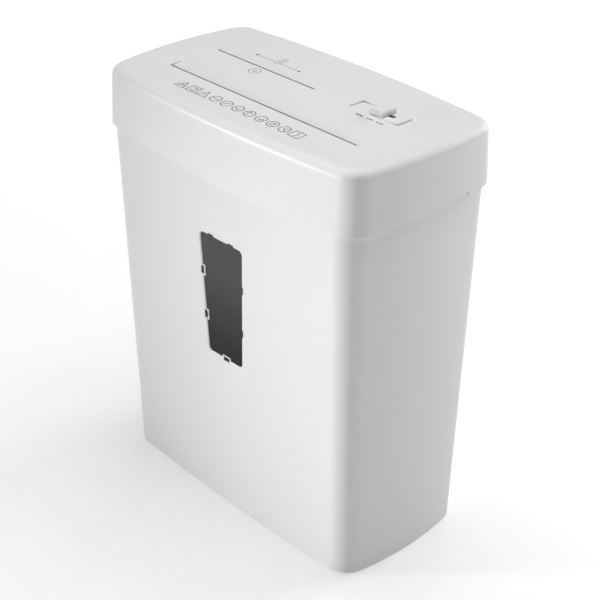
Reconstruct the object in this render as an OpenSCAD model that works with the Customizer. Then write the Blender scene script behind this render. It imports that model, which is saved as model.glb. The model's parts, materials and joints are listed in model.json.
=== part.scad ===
// Strip-and-disc paper shredder: a drive head that stands on a waste bin.
// Origin at the middle of the bin's underside. +X runs to the right along the long side,
// -Y is the front with the window, +Z is up. All lengths in millimetres.

/* [Head] */
// Length of the head over its bowed ends
head_w = 320; // [316:1:330]
// Depth of the head over its bowed long sides
head_d = 177; // [175:1:184]
// Height of the top face above the floor
total_h = 385; // [383:1:400]
// Height of the head's skirt
skirt_h = 52; // [51:0.5:54]
// Radius of the head's corners in plan
head_corner_r = 22.8; // [20:0.2:26]
// How far each end of the head bows outwards
head_end_bow = 10.7; // [8:0.1:12]
// How far each long side of the head bows outwards
head_side_bow = 9.2; // [7:0.1:10]
// Draft of the skirt, in degrees
head_draft = 2.4; // [1:0.1:3]
// Radius of the edge around the top face
top_edge_r = 8.5; // [6:0.5:10]
// Wall thickness of the head and the bin
wall = 2.5; // [2:0.1:3]
// Height of the finger relief in each end of the skirt
relief_h = 3.3; // [2:0.1:4]
// Length of the finger relief
relief_l = 86; // [70:1:100]

/* [Bin] */
// Set-back of the bin's rim inside the skirt's edge
bin_step = 4.3; // [4:0.1:5]
// Narrowing of the bin from rim to base, each end
bin_taper_x = 3.9; // [3:0.1:6]
// Narrowing of the bin from rim to base, front and back
bin_taper_y = 9.4; // [6:0.1:12]
// Radius of the bin's corners in plan
bin_corner_r = 22; // [18:0.5:24]
// How far each end of the bin bows outwards
bin_end_bow = 10; // [8:0.1:12]
// How far each long side of the bin bows outwards
bin_side_bow = 5.1; // [4:0.1:7]
// Radius of the bin's bottom edge
bin_edge_r = 2; // [1:0.5:4]

/* [Window] */
// Width of the window at its top
window_top_w = 53; // [50:1:60]
// Width of the window at its bottom
window_bottom_w = 43; // [40:1:50]
// Height of the window's lower edge above the floor
window_z0 = 160; // [150:1:170]
// Height of the window's upper edge above the floor
window_z1 = 275.5; // [260:0.5:280]
// Radius of the window's corners
window_r = 4; // [3:0.5:8]
// Distance of the window's middle from the middle of the front
window_x = 1.8; // [0:0.1:3]

/* [Slots and switch] */
// Length of the paper slot, for an A4 sheet
paper_slot_l = 221.5; // [216:0.5:222]
// Width of the paper slot
paper_slot_w = 4.8; // [4.6:0.1:5]
// Length of the slot for discs and cards
disc_slot_l = 122; // [121:0.5:124]
// Width of the slot for discs and cards
disc_slot_w = 3.4; // [3:0.1:4]
// Length of the slanted track under the switch knob
track_l = 55; // [52:1:58]
// Width of the track
track_w = 18; // [18:0.5:20]
// Depth of the track's left end below the top face
track_sink = 2; // [1:0.1:2.2]
// Height of the track's right end above the top face
track_rise = 2; // [1:0.1:2.4]
// Length of the switch knob
knob_l = 15; // [12:1:18]
// Width of the switch knob
knob_w = 15.5; // [14:0.5:16]
// Height of the switch knob above its track
knob_h = 5.8; // [4:0.1:7]
// Travel of the switch knob each way from its middle position
knob_travel = 11; // [9:0.5:12]

/* [Cutting rolls] */
// Radius of the paper cutting discs
cutter_r = 15.3; // [15:0.1:15.4]
// Thickness of a paper cutting disc
cutter_t = 3.7; // [3.5:0.1:3.7]
// Gap at each side of a disc where the two rolls interleave
cutter_gap = 0.3; // [0.3:0.05:0.5]
// Number of discs on the front roll
cutter_count = 28; // [26:1:28]
// Radius of the spacers between the discs
spacer_r = 11.4; // [11:0.1:11.4]
// Width across the flats of the hexagonal roll shafts
hex_af = 12; // [11:0.5:13]
// Radius of the shaft ends that turn in the bushes
journal_r = 5; // [4:0.5:5]
// Radius of the blades for discs and cards
media_blade_r = 13.9; // [13.7:0.1:14]
// Number of blades on each of the disc and card rolls
media_blade_count = 4; // [2:1:4]

/* [Gears and motor] */
// Module of the roll gears
roll_module = 1.5; // [1.5:0.5:1.5]
// Teeth of each roll gear
roll_teeth = 18; // [18:1:18]
// Teeth of the last reduction pinion, of the roll gears' module
last_pinion_teeth = 14; // [14:1:14]
// Module of the middle gear pair
middle_module = 1; // [1:0.5:1]
// Teeth of the middle wheel
middle_wheel_teeth = 42; // [42:1:42]
// Teeth of the middle pinion
middle_pinion_teeth = 14; // [14:1:14]
// Module of the motor's gear pair
motor_module = 0.8; // [0.8:0.1:0.8]
// Teeth of the wheel that the motor drives
motor_wheel_teeth = 50; // [50:1:50]
// Teeth of the motor's pinion
motor_pinion_teeth = 12; // [12:1:12]
// Radius of the motor's case
motor_r = 22; // [18:1:22]
// Length of the motor's case
motor_l = 75; // [60:1:75]

/* [Hidden] */
$fn = 48;

touch = 0.01;             // small overreach that keeps cuts clean
run_fit = 0.05;           // radial clearance of a shaft in its bush

white = [0.87, 0.87, 0.86];
smoke = [0.26, 0.26, 0.25];
steel = [0.62, 0.63, 0.65];
dark_steel = [0.42, 0.43, 0.45];
bronze = [0.72, 0.52, 0.30];
nylon = [0.86, 0.85, 0.80];
black = [0.10, 0.10, 0.11];

// Head levels
skirt_z = total_h - skirt_h;
ceiling_z = total_h - wall;
bin_top_w = head_w - 2 * bin_step;
bin_top_d = head_d - 2 * bin_step;

// Base cover: a flange on the bin's rim and a tray that hangs in the bin's mouth
flange_t = 2.5;
tray_wall = 2;
tray_depth = 33;
tray_z = skirt_z - tray_depth;
tray_floor_t = 2.5;
floor_z = tray_z + tray_floor_t;
tray_w = bin_top_w - 2 * (wall + 2.2);
tray_d = bin_top_d - 2 * (wall + 3);

// Slots
paper_slot_y = -37;
paper_slot_x = -1.2;
groove_l = 227;
groove_front_y = paper_slot_y - paper_slot_w / 2;
groove_back_y = paper_slot_y + 11;
groove_depth = 1.9;
disc_slot_y = 15.5;
disc_slot_x = -51;
disc_groove_back_y = disc_slot_y + 6;
disc_groove_depth = 1;
slot_boss_t = 4;

// Switch
switch_x = 80.5;
switch_y = 19.5;
track_z = total_h + (track_rise - track_sink) / 2;
track_angle = atan((track_rise + track_sink) / track_l);
track_floor_t = 2.2;
knob_x = 3;               // middle position of the knob on the track
knob_clear = 0.3;
knob_edge_r = 3.5;
stem_l = 4;
stem_w = 3.6;
stem_drop = 18.5;
stem_slot_clear = 0.4;
slider_l = 12;
body_x = switch_x + knob_x + stem_drop * sin(track_angle);
switch_top_z = 370;
switch_h = 15;

// Frame: side plates, seen from the right as Y and Z
frame_x = -3;
plate_t = 2;
inner_half = 114;
left_x = frame_x - inner_half;
right_x = frame_x + inner_half;
plate_top_z = 366;
plate_y = 66;

// Rolls: four parallel shafts one gear pitch apart
roll_z = 334;
pitch = roll_module * roll_teeth;
front_roll_y = -50.5;
rear_roll_y = front_roll_y + pitch;
front_media_y = rear_roll_y + pitch;
rear_media_y = front_media_y + pitch;
disc_pitch = 2 * (cutter_t + cutter_gap);
hex_x0 = left_x + 3;
hex_x1 = right_x - 3;
first_disc_x = hex_x0 + 0.15;
bush_r = 8;
bush_over = 1;
middle_plate_x = 18;
media_core_r = 8;
media_blade_t = 3;
media_gap_step = 3;       // one blade in every third gap of the rear paper roll
media_first_gap = 3;

// Gear levels, measured out from the right side plate
gear_x1 = right_x + plate_t + 3;
roll_gear_t = 8;
gear_x2 = gear_x1 + roll_gear_t + 1;
middle_gear_t = 6;
gear_x3 = gear_x2 + middle_gear_t + 1;
motor_gear_t = 5;
left_gear_x = left_x - plate_t - 1 - roll_gear_t;
backlash = 0.3;
fine_backlash = 0.2;
axle_r = 3;

// Gear centres as [y, z], and the angle from each gear to the next
motor_c = [42, 327];
last_angle = 50;
front_media_c = [front_media_y, roll_z];
last_c = front_media_c
    + roll_module * (roll_teeth + last_pinion_teeth) / 2 * [cos(last_angle), sin(last_angle)];
first_c = meeting_point(
    last_c, middle_module * (middle_wheel_teeth + middle_pinion_teeth) / 2,
    motor_c, motor_module * (motor_wheel_teeth + motor_pinion_teeth) / 2
);
first_angle = heading(last_c, first_c);
motor_angle = heading(first_c, motor_c);

// Tooth phases, each worked out from its neighbour so that all gears are in mesh
front_roll_phase = mesh_phase(0, roll_teeth, roll_teeth, 180);
front_media_phase = mesh_phase(0, roll_teeth, roll_teeth, 0);
rear_media_phase = mesh_phase(0, roll_teeth, roll_teeth, 0);
last_pinion_phase = mesh_phase(front_media_phase, roll_teeth, last_pinion_teeth, last_angle);
middle_pinion_phase = mesh_phase(0, middle_wheel_teeth, middle_pinion_teeth, first_angle);
motor_pinion_phase = mesh_phase(0, motor_wheel_teeth, motor_pinion_teeth, motor_angle);

// Motor
motor_x1 = right_x;
motor_x0 = motor_x1 - motor_l;
motor_wall = 2;
motor_shaft_r = 2;
rotor_r = 13;
magnet_r = 15;

// Tie rods as [y, z]
rods = [[-60, 315], [-60, 356], [-10, 357], [60, 360]];
rod_r = 3;

// Cover columns as [x, y]
columns = [[144, 20], [144, -20], [-140, 40], [-140, -40]];
column_r = 4;
screw_r = 1.5;
screw_head_r = 3.2;
screw_head_t = 2.2;

// Feet of the side plates as [y]
feet_y = [-40, 50];
foot_l = 12;

// Sensor
sensor_y = -24;
sensor_z = 368;
guide_bottom_z = 352;
guide_t = 1.5;

// Safety plunger, pressed by a rib on the bin's left wall
plunger_x = -138;
plunger_r = 2.5;
rib_z = tray_z - 4;
rib_h = 10;
plunger_top_z = 322;

// Cord inlet in the rear wall of the skirt
gland_x = 110;
gland_z = 350;
gland_r = 6;
gland_flange_r = 8.5;
gland_boss_t = 3.5;
gland_seat_y = head_d / 2 - head_side_bow * pow(2 * (gland_x + gland_flange_r) / head_w, 2)
    - tan(head_draft) * (gland_z + gland_flange_r - skirt_z) - 0.1;
cord_r = 3.4;

// ---------- geometry helpers ----------

function polar(r, a) = [r * cos(a), r * sin(a)];
function heading(a, b) = atan2(b[1] - a[1], b[0] - a[0]);
function reversed(list) = [for (i = [len(list) - 1:-1:0]) list[i]];

// Point at distance ra from a and rb from b, on the upper side
function meeting_point(a, ra, b, rb) =
    let (d = norm(b - a), u = (b - a) / d, along = (ra * ra - rb * rb + d * d) / (2 * d))
    a + along * u + sqrt(ra * ra - along * along) * [-u[1], u[0]];

// Radius of the arc that spans a chord and stands out by the given bow
function bow_radius(chord, bow) = (chord * chord / 4 + bow * bow) / (2 * bow);

function arc(centre, r, a0, a1, steps) =
    [for (i = [0:steps]) centre + polar(r, a0 + (a1 - a0) * i / steps)];

// One quarter of a plan outline: end arc, corner arc, side arc, each tangent to the next
function quarter(w, d, r, end_bow, side_bow) =
    let (
        end_r = bow_radius(d, end_bow),
        side_r = bow_radius(w, side_bow),
        end_c = [w / 2 - end_r, 0],
        side_c = [0, d / 2 - side_r],
        corner_c = meeting_point(end_c, end_r - r, side_c, side_r - r),
        a0 = heading(end_c, corner_c),
        a1 = heading(side_c, corner_c)
    )
    concat(
        arc(end_c, end_r, 0, a0, 3),
        [for (i = [1:7]) corner_c + polar(r, a0 + (a1 - a0) * i / 7)],
        [for (i = [1:5]) side_c + polar(side_r, a1 + (90 - a1) * i / 5)]
    );

// Full outline, anticlockwise, with no point repeated
function outline(w, d, r, end_bow, side_bow) =
    let (q = quarter(w, d, r, end_bow, side_bow), n = len(q) - 1)
    concat(
        [for (i = [0:n - 1]) q[i]],
        [for (i = [n:-1:1]) [-q[i][0], q[i][1]]],
        [for (i = [0:n - 1]) -q[i]],
        [for (i = [n:-1:1]) [q[i][0], -q[i][1]]]
    );

function head_outline(inset) =
    outline(head_w - 2 * inset, head_d - 2 * inset, head_corner_r - inset, head_end_bow, head_side_bow);

// Outline of the bin at a height, a given distance inside its outer face
function bin_outline(z, inset) =
    let (fall = 1 - z / skirt_z)
    outline(
        bin_top_w - 2 * (inset + bin_taper_x * fall),
        bin_top_d - 2 * (inset + bin_taper_y * fall),
        bin_corner_r - inset, bin_end_bow, bin_side_bow
    );

function tray_outline(inset) =
    outline(tray_w - 2 * inset, tray_d - 2 * inset, bin_corner_r - wall - inset, bin_end_bow, bin_side_bow);

function lift(points, z) = [for (p = points) [p[0], p[1], z]];

// Arc that rounds the corner b between its neighbours a and c
function corner_arc(a, b, c, r, steps) =
    let (
        u = (a - b) / norm(a - b),
        v = (c - b) / norm(c - b),
        half = acos(u * v) / 2,
        centre = b + (u + v) / norm(u + v) * r / sin(half),
        a0 = heading(centre, b + u * r / tan(half)),
        a1 = heading(centre, b + v * r / tan(half)),
        turn = (a1 - a0 + 540) % 360 - 180
    )
    arc(centre, r, a0, a0 + turn, steps);

function rounded(points, r, steps = 5) =
    let (n = len(points))
    [for (i = [0:n - 1]) each corner_arc(points[(i + n - 1) % n], points[i], points[(i + 1) % n], r, steps)];

function rectangle(x0, y0, x1, y1) = [[x0, y0], [x1, y0], [x1, y1], [x0, y1]];

// Solid through a stack of rings that have equal numbers of points
module loft(rings) {
    n = len(rings[0]);
    last = n * (len(rings) - 1);
    polyhedron(
        points = [for (ring = rings) each ring],
        faces = concat(
            [[for (i = [0:n - 1]) i]],
            [[for (i = [n - 1:-1:0]) last + i]],
            [for (k = [0:len(rings) - 2], i = [0:n - 1])
                [k * n + i, (k + 1) * n + i, (k + 1) * n + (i + 1) % n, k * n + (i + 1) % n]]
        )
    );
}

module block(low, high) {
    translate(low) cube(high - low);
}

// Extrudes a profile drawn as [y, z] along X
module along_x(x0, x1) {
    translate([x0, 0, 0]) rotate([90, 0, 90]) linear_extrude(x1 - x0) children();
}

// Round bar along X between two stations, centred on [y, z]
module bar_x(c, r, x0, x1) {
    translate([x0, c[0], c[1]]) rotate([0, 90, 0]) cylinder(r = r, h = x1 - x0);
}

// ---------- gear helpers ----------

function involute(a) = tan(a) * 180 / PI - a;

// Half of a tooth's angle at radius rho
function tooth_half(rho, m, n, slack) =
    let (r = m * n / 2, base = r * cos(20))
    ((PI * m / 2 - slack / 2) / (2 * r)) * 180 / PI + involute(20) - involute(acos(min(1, base / rho)));

// Outline of a spur gear with short involute teeth, the first tooth on the first axis
function gear_outline(m, n, slack) =
    let (
        root = m * (n / 2 - 1.05),
        tip = m * (n / 2 + 0.75),
        steps = 4,
        radii = [for (s = [0:steps]) root + (tip - root) * s / steps]
    )
    [for (i = [0:n - 1]) each concat(
        [for (rho = radii) polar(rho, 360 * i / n - tooth_half(rho, m, n, slack))],
        [for (rho = reversed(radii)) polar(rho, 360 * i / n + tooth_half(rho, m, n, slack))]
    )];

// Phase of a second gear in mesh with a first that lies at the given angle from it
function mesh_phase(phase, teeth, next_teeth, angle) =
    angle + 180 - 180 / next_teeth + (angle - phase) * teeth / next_teeth;

module gear(c, m, n, phase, slack, x0, x1) {
    along_x(x0, x1) translate(c) rotate(phase) polygon(gear_outline(m, n, slack));
}

// ---------- bin ----------

// The pane sits in a pocket from the inside, behind a thin lip of the wall
lip_t = 1.2;
pane_t = 1.6;
pane_over = 1.9;
pocket_over = 2;
frame_over = 5;

// Half width of the window at a height
function window_half(z) =
    (window_bottom_w + (window_top_w - window_bottom_w) * (z - window_z0) / (window_z1 - window_z0)) / 2;

function window_outline(grow) =
    rounded([
        [window_x - window_bottom_w / 2 - grow, window_z0 - grow],
        [window_x + window_bottom_w / 2 + grow, window_z0 - grow],
        [window_x + window_top_w / 2 + grow, window_z1 + grow],
        [window_x - window_top_w / 2 - grow, window_z1 + grow]
    ], window_r + max(0, grow - pane_over));

// Extrudes a profile drawn as [x, z] along Y
module along_y(y0, y1) {
    translate([0, y1, 0]) rotate([90, 0, 0]) linear_extrude(y1 - y0) children();
}

// Places its children, drawn flat in X and Z behind y = 0, against the inside of the front wall
module on_front_wall() {
    lean = atan(bin_taper_y / skirt_z);
    translate([0, -(bin_top_d / 2 - bin_taper_y), 0]) rotate([lean, 0, 0]) children();
}

// Notches in the lip; those on the left and at the bottom carry hooks that hold the pane
catch_z = [195.5, 238.5];
top_notch_x = 12.5;
bottom_hook_x = 1.5;
catch_l = 10;
catch_bar = 1.2;
catch_reach = 3;
notch_w = 2.2;
notch_half = catch_l / 2 - catch_bar;

module bin_shell() {
    color(white) {
        difference() {
            loft(concat(
                [for (i = [0:3]) let (a = 30 * i)
                    lift(bin_outline(0, bin_edge_r * (1 - sin(a))), bin_edge_r * (1 - cos(a)))],
                [lift(bin_outline(skirt_z, 0), skirt_z)]
            ));
            loft([
                lift(bin_outline(wall, wall), wall),
                lift(bin_outline(skirt_z, wall), skirt_z),
                lift(bin_outline(skirt_z, wall), skirt_z + 1)
            ]);
            along_y(-head_d, -head_d / 4) polygon(window_outline(0));
            on_front_wall() {
                along_y(lip_t, wall + 1) polygon(window_outline(pocket_over));
                at_hooks() notch();
                at_notches() notch();
            }
        }
        window_frame();
        on_front_wall() at_hooks() hook();
        plunger_rib();
    }
}

// Flat frame around the pocket, on the inside of the front wall
module window_frame() {
    on_front_wall() difference() {
        along_y(wall - 0.5, lip_t + pane_t + 1) polygon(window_outline(frame_over));
        along_y(0, lip_t + pane_t + 2) polygon(window_outline(pocket_over));
    }
}

// Places its children on the window's edge at a height, with +X pointing into the window
module on_window_side(side, z) {
    translate([window_x + side * window_half(z), 0, z]) mirror([side > 0 ? 1 : 0, 0, 0]) children();
}

// Places its children at each hook on the window's edge
module at_hooks() {
    for (z = catch_z) on_window_side(-1, z) children();
    translate([window_x + bottom_hook_x, 0, window_z0]) rotate([0, -90, 0]) children();
}

// Places its children at each notch that has no hook
module at_notches() {
    for (z = catch_z) on_window_side(1, z) children();
    for (x = [-top_notch_x, top_notch_x])
        translate([window_x + x, 0, window_z1]) rotate([0, 90, 0]) children();
}

module notch() {
    block([-notch_w, -1, -notch_half], [touch, lip_t + touch, notch_half]);
}

// Small open loop over the edge of the pane, which is snapped in behind it
module hook() {
    difference() {
        block([-touch, 0.4, -catch_l / 2], [catch_reach, lip_t, catch_l / 2]);
        block([-1, 0, -notch_half], [catch_reach - catch_bar, lip_t + 1, notch_half]);
    }
}

// Rib that pushes the safety plunger up when the head is seated
module plunger_rib() {
    wall_x = bin_top_w / 2 - bin_taper_x * (1 - rib_z / skirt_z) - wall;
    block([-wall_x - 1, -4, rib_z - rib_h], [plunger_x + 5, 4, rib_z]);
}

module bin_window() {
    color(smoke) on_front_wall()
        along_y(lip_t, lip_t + pane_t) polygon(window_outline(pane_over));
}

// ---------- head shells ----------

module head_form(inset, z0, edge_r) {
    top = total_h - inset;
    slope = tan(head_draft);
    loft(concat(
        [lift(head_outline(inset + slope * (z0 - skirt_z)), z0)],
        [for (i = [0:5]) let (
            a = 18 * i,
            z = top - edge_r * (1 - sin(a)),
            in = inset + slope * (z - skirt_z) + edge_r * (1 - cos(a))
        ) lift(head_outline(in), z)]
    ));
}

module top_cover() {
    color(white) {
        difference() {
            union() {
                difference() {
                    head_form(0, skirt_z, top_edge_r);
                    head_form(wall, skirt_z - 1, top_edge_r - wall);
                }
                slot_bosses();
                on_gland() translate([0, 0, -gland_boss_t])
                    cylinder(r = gland_flange_r + 2, h = gland_boss_t);
            }
            paper_slot_cut();
            disc_slot_cut();
            track_cut();
            relief_cut();
            gland_cut();
        }
        cover_columns();
        switch_posts();
    }
}

// Thick strips under the top face around the slots, and the slanted track of the switch
module slot_bosses() {
    boss_z = ceiling_z - slot_boss_t;
    paper_half = groove_l / 2 + 4;
    block(
        [paper_slot_x - paper_half, groove_front_y - 3, boss_z],
        [paper_slot_x + paper_half, groove_back_y + 2, ceiling_z + 1]
    );
    disc_half = disc_slot_l / 2 + 4;
    block(
        [disc_slot_x - disc_half, disc_slot_y - 5, boss_z + 1],
        [disc_slot_x + disc_half, disc_groove_back_y + 2, ceiling_z + 1]
    );
    on_track() {
        block([-track_l / 2, -track_w / 2, -track_floor_t - 2], [track_l / 2, track_w / 2, 0]);
        block([-track_l / 2 - 2, -track_w / 2 - 2, -track_floor_t - 2], [0, track_w / 2 + 2, -track_floor_t]);
    }
}

// Places its children on the slanted track, with z = 0 on its face
module on_track() {
    translate([switch_x, switch_y, track_z]) rotate([0, -track_angle, 0]) children();
}

module paper_slot_cut() {
    half = paper_slot_l / 2;
    along_x(paper_slot_x - half, paper_slot_x + half) polygon(rectangle(
        groove_front_y, ceiling_z - slot_boss_t - 1, groove_front_y + paper_slot_w, total_h + 1
    ));
    along_x(paper_slot_x - half, paper_slot_x - half + groove_l) polygon([
        [groove_front_y, total_h - groove_depth],
        [groove_front_y + paper_slot_w, total_h - groove_depth],
        [groove_back_y, total_h],
        [groove_back_y, total_h + 1],
        [groove_front_y, total_h + 1]
    ]);
}

module disc_slot_cut() {
    half = disc_slot_l / 2;
    front_y = disc_slot_y - disc_slot_w / 2;
    along_x(disc_slot_x - half, disc_slot_x + half) {
        polygon(rectangle(front_y, ceiling_z - slot_boss_t, front_y + disc_slot_w, total_h + 1));
        polygon([
            [front_y, total_h - disc_groove_depth],
            [front_y + disc_slot_w, total_h - disc_groove_depth],
            [disc_groove_back_y, total_h],
            [disc_groove_back_y, total_h + 1],
            [front_y, total_h + 1]
        ]);
    }
}

// Clears the space over the track, the slot for the knob's stem and the room for its slider
module track_cut() {
    slot_half = stem_l / 2 + knob_travel + stem_slot_clear;
    slider_half = slider_l / 2 + knob_travel + 1;
    on_track() {
        block([-track_l / 2, -track_w / 2, 0], [track_l / 2, track_w / 2, 8]);
        block(
            [knob_x - slot_half, -stem_w / 2 - stem_slot_clear, -track_floor_t - 4],
            [knob_x + slot_half, stem_w / 2 + stem_slot_clear, touch]
        );
        block(
            [knob_x - slider_half, -slider_l / 2 - 1, -track_floor_t - 8],
            [knob_x + slider_half, slider_l / 2 + 1, -track_floor_t]
        );
    }
}

// Shallow finger reliefs in the skirt's lower edge, one at each end
module relief_cut() {
    block([-head_w, -relief_l / 2, skirt_z - 1], [head_w, relief_l / 2, skirt_z + relief_h]);
}

// Places its children, drawn along Z, at the gland's seat and pointing out of the rear wall
module on_gland() {
    translate([gland_x, gland_seat_y, gland_z]) rotate([-90, 0, 0]) children();
}

// Bore for the gland, with a flat seat for its flange sunk into the curved wall
module gland_cut() {
    on_gland() {
        translate([0, 0, -gland_boss_t - 1]) cylinder(r = gland_r, h = 20);
        cylinder(r = gland_flange_r + 0.2, h = 20);
    }
}

module cover_columns() {
    for (c = columns) translate([c[0], c[1], floor_z]) difference() {
        cylinder(r = column_r, h = ceiling_z - floor_z + touch);
        translate([0, 0, -touch]) cylinder(r = screw_r, h = 16);
    }
}

// Posts that hang from the top face and hold the slide switch between them
module switch_posts() {
    for (side = [-1, 1]) translate([body_x + side * 22, switch_y, 0])
        block([min(0, 4 * side), -4, switch_top_z - 8], [max(0, 4 * side), 4, ceiling_z - 1]);
}

module base_cover() {
    color(white) difference() {
        union() {
            translate([0, 0, skirt_z]) linear_extrude(flange_t) difference() {
                polygon(head_outline(wall + 0.3));
                polygon(tray_outline(tray_wall));
            }
            translate([0, 0, tray_z]) linear_extrude(tray_depth + touch) difference() {
                polygon(tray_outline(0));
                polygon(tray_outline(tray_wall));
            }
            translate([0, 0, tray_z]) linear_extrude(tray_floor_t) polygon(tray_outline(touch));
            board_posts();
            plunger_guide();
        }
        exit_cuts();
        for (c = columns) translate([c[0], c[1], tray_z - 1]) cylinder(r = screw_r, h = tray_floor_t + 2);
        for (p = foot_holes()) translate([p[0], p[1], tray_z + 0.5]) cylinder(r = screw_r, h = tray_floor_t);
        translate([plunger_x, 0, tray_z - 1]) cylinder(r = plunger_r + run_fit, h = 20);
    }
}

// Openings under the rolls, through which the shreds fall
module exit_cuts() {
    block([left_x + 8, -60, tray_z - 1], [right_x - 3, -12, floor_z + 1]);
    block([left_x + 8, -4, tray_z - 1], [middle_plate_x - 4, 38, floor_z + 1]);
}

module board_posts() {
    for (x = [-98, 2]) block([x, 53, floor_z - touch], [x + 6, 56, 345]);
}

module plunger_guide() {
    translate([plunger_x, 0, floor_z - touch]) cylinder(r = plunger_r + 2.5, h = 4);
}

// ---------- switch ----------

// Grip with rounded ends on the track, on a stem that carries a slider under the top face
module mode_knob() {
    slider_z = -track_floor_t - knob_clear;
    end_x = knob_l / 2 - knob_edge_r;
    end_z = knob_h - knob_edge_r;
    color(white) on_track() translate([knob_x, 0, 0]) {
        along_y(-knob_w / 2, knob_w / 2) polygon(concat(
            [[-knob_l / 2, knob_clear], [knob_l / 2, knob_clear]],
            arc([end_x, end_z], knob_edge_r, 0, 90, 6),
            arc([-end_x, end_z], knob_edge_r, 90, 180, 6)
        ));
        block([-stem_l / 2, -stem_w / 2, -stem_drop], [stem_l / 2, stem_w / 2, knob_clear + touch]);
        block([-slider_l / 2, -slider_l / 2, slider_z - 1.4], [slider_l / 2, slider_l / 2, slider_z]);
    }
}

module switch_body() {
    color(black) translate([body_x, switch_y, 0]) difference() {
        block([-22, -7, switch_top_z - switch_h], [22, 7, switch_top_z]);
        block([-16, -2.6, switch_top_z - 5], [16, 2.6, switch_top_z + 1]);
    }
}

// ---------- frame ----------

function foot_holes() = [
    for (y = feet_y) [left_x - plate_t - foot_l / 2, y],
    for (y = feet_y) [right_x + plate_t + foot_l / 2, y]
];

function plate_outline() = rounded([
    [-plate_y, floor_z], [plate_y, floor_z], [plate_y, plate_top_z], [-plate_y, plate_top_z]
], 6);

// Side plate with bores for the bushes, rods and its own list of plain holes as [y, z, r]
module side_plate(x0, foot_side, bush_ys, holes) {
    color(steel) {
        difference() {
            along_x(x0, x0 + plate_t) polygon(plate_outline());
            for (y = bush_ys) bar_x([y, roll_z], bush_r, x0 - 1, x0 + plate_t + 1);
            for (rod = rods) bar_x(rod, screw_r, x0 - 1, x0 + plate_t + 1);
            for (h = holes) bar_x([h[0], h[1]], h[2], x0 - 1, x0 + plate_t + 1);
        }
        foot_x0 = foot_side > 0 ? x0 + plate_t - touch : x0 - foot_l;
        for (y = feet_y) difference() {
            block([foot_x0, y - 7, floor_z], [foot_x0 + foot_l + touch, y + 7, floor_z + plate_t]);
            translate([foot_x0 + foot_l / 2, y, floor_z - 1]) cylinder(r = screw_r, h = plate_t + 2);
        }
    }
}

module left_side_plate() {
    side_plate(left_x - plate_t, -1, [front_roll_y, rear_roll_y, front_media_y, rear_media_y], []);
}

module right_side_plate() {
    side_plate(right_x, 1, [front_roll_y, rear_roll_y, front_media_y], concat(
        [[motor_c[0], motor_c[1], 4]],
        [for (c = [last_c, first_c]) [c[0], c[1], axle_r]],
        [for (c = motor_screw_centres()) [c[0], c[1], screw_r]]
    ));
}

// Carries the inner ends of the two rolls that cut discs and cards
module middle_bearing_plate() {
    color(steel) difference() {
        along_x(middle_plate_x, middle_plate_x + plate_t)
            polygon(rounded(rectangle(-6.5, floor_z, 44, 358), 3));
        for (y = [front_media_y, rear_media_y])
            bar_x([y, roll_z], bush_r, middle_plate_x - 1, middle_plate_x + plate_t + 1);
    }
}

module tie_rods() {
    color(steel) for (rod = rods) difference() {
        bar_x(rod, rod_r, left_x, right_x);
        bar_x(rod, screw_r, left_x - 1, left_x + 10);
        bar_x(rod, screw_r, right_x - 10, right_x + 1);
    }
}

module bush(y, x0) {
    difference() {
        bar_x([y, roll_z], bush_r, x0 - bush_over, x0 + plate_t + bush_over);
        bar_x([y, roll_z], journal_r + run_fit, x0 - 2, x0 + plate_t + 2);
    }
}

module shaft_bushes() {
    color(bronze) {
        for (y = [front_roll_y, rear_roll_y, front_media_y]) bush(y, right_x);
        for (y = [front_roll_y, rear_roll_y, front_media_y, rear_media_y]) bush(y, left_x - plate_t);
        for (y = [front_media_y, rear_media_y]) bush(y, middle_plate_x);
    }
}

// ---------- paper rolls ----------

module hexagon() {
    circle(r = hex_af / sqrt(3), $fn = 6);
}

module roll_shaft(y) {
    color(dark_steel) {
        along_x(hex_x0, hex_x1) translate([y, roll_z]) hexagon();
        bar_x([y, roll_z], journal_r, left_x - plate_t - 1.5, gear_x1 + roll_gear_t + 0.5);
    }
}

// Cutting disc with hooked notches that chop the strips
module cutting_disc(y, x0, turn) {
    along_x(x0, x0 + cutter_t) translate([y, roll_z]) difference() {
        rotate(turn) difference() {
            circle(r = cutter_r);
            for (a = [0:90:270]) rotate(a)
                polygon([[cutter_r - 2.2, 0], [cutter_r + 1, 0], [cutter_r + 1, 3.5]]);
        }
        hexagon();
    }
}

function disc_x(offset, k) = first_disc_x + offset + disc_pitch * k;

module roll_discs(y, offset, count) {
    color(dark_steel) for (k = [0:count - 1]) cutting_disc(y, disc_x(offset, k), 13 * k);
}

module roll_spacers(y, offset, count) {
    color(nylon) for (k = [0:count - 2])
        along_x(disc_x(offset, k) + cutter_t, disc_x(offset, k + 1)) translate([y, roll_z]) difference() {
            circle(r = spacer_r);
            hexagon();
        }
}

module roll_gear(y, phase, x0) {
    color(nylon) difference() {
        gear([y, roll_z], roll_module, roll_teeth, phase, backlash, x0, x0 + roll_gear_t);
        bar_x([y, roll_z], journal_r, x0 - 1, x0 + roll_gear_t + 1);
    }
}

module front_roll_shaft() { roll_shaft(front_roll_y); }
module front_roll_discs() { roll_discs(front_roll_y, 0, cutter_count); }
module front_roll_spacers() { roll_spacers(front_roll_y, 0, cutter_count); }
module front_roll_gear() { roll_gear(front_roll_y, front_roll_phase, gear_x1); }

module rear_roll_shaft() { roll_shaft(rear_roll_y); }
module rear_roll_discs() { roll_discs(rear_roll_y, disc_pitch / 2, cutter_count - 1); }
module rear_roll_spacers() { roll_spacers(rear_roll_y, disc_pitch / 2, cutter_count - 1); }
module rear_roll_gear() { roll_gear(rear_roll_y, 0, gear_x1); }

// ---------- rolls for discs and cards ----------

module media_shaft(y, x1) {
    color(dark_steel) {
        bar_x([y, roll_z], media_core_r, hex_x0, middle_plate_x - 2);
        bar_x([y, roll_z], journal_r, left_gear_x - 0.5, x1);
    }
}

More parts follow.
